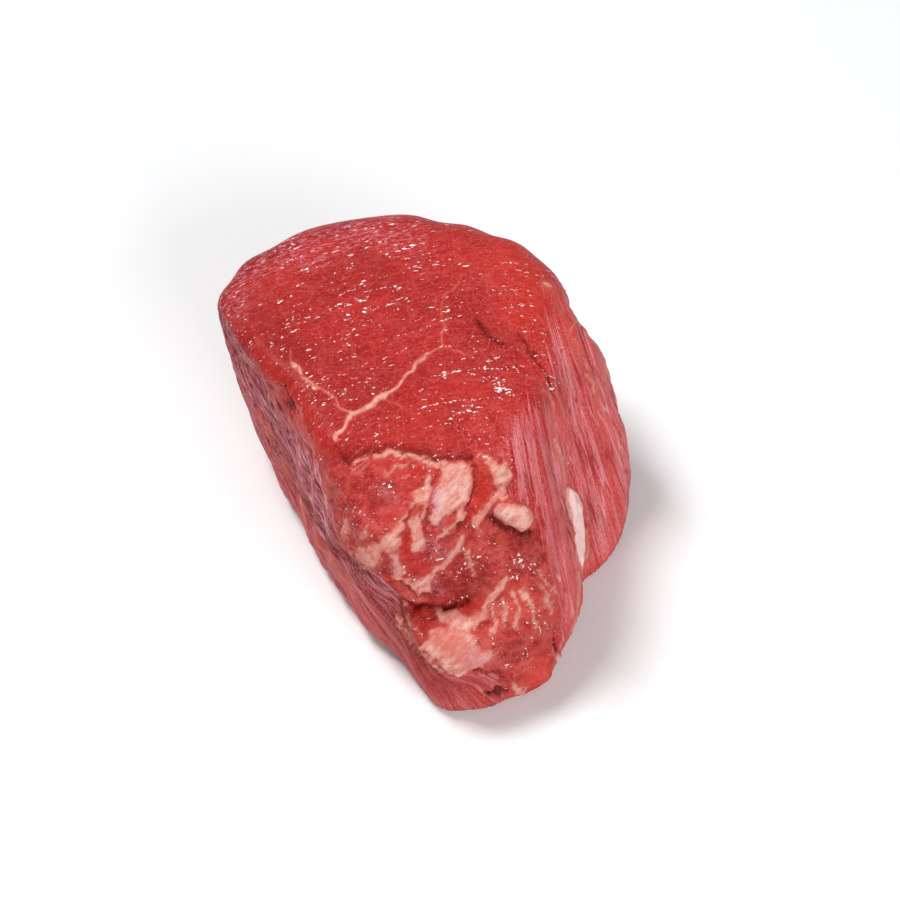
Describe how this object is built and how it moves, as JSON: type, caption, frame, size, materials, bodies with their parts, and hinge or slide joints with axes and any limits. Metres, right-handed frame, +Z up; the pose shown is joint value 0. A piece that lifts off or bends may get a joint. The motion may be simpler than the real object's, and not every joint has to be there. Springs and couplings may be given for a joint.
{
  "type": "chateaubriand",
  "caption": "Thick raw cut from the head of a beef fillet, with a smooth cut face on top, a fatty sloping front and a side muscle.",
  "frame": {"origin": "on the flat underside that rests on the board, below the middle of the upper cut face's front half", "axes": "+Z up along the grain, away from the board; the sloping fatty front faces -Y; the side muscle is on +X"},
  "size_m": [0.1207, 0.1285, 0.0758],
  "materials": {
    "raw_meat": "wet raw beef: bright red cut faces, mauve fibrous walls, cream-pink fat and seams"
  },
  "bodies": {
    "root": {"chateaubriand": "raw_meat"}
  },
  "joints": []
}
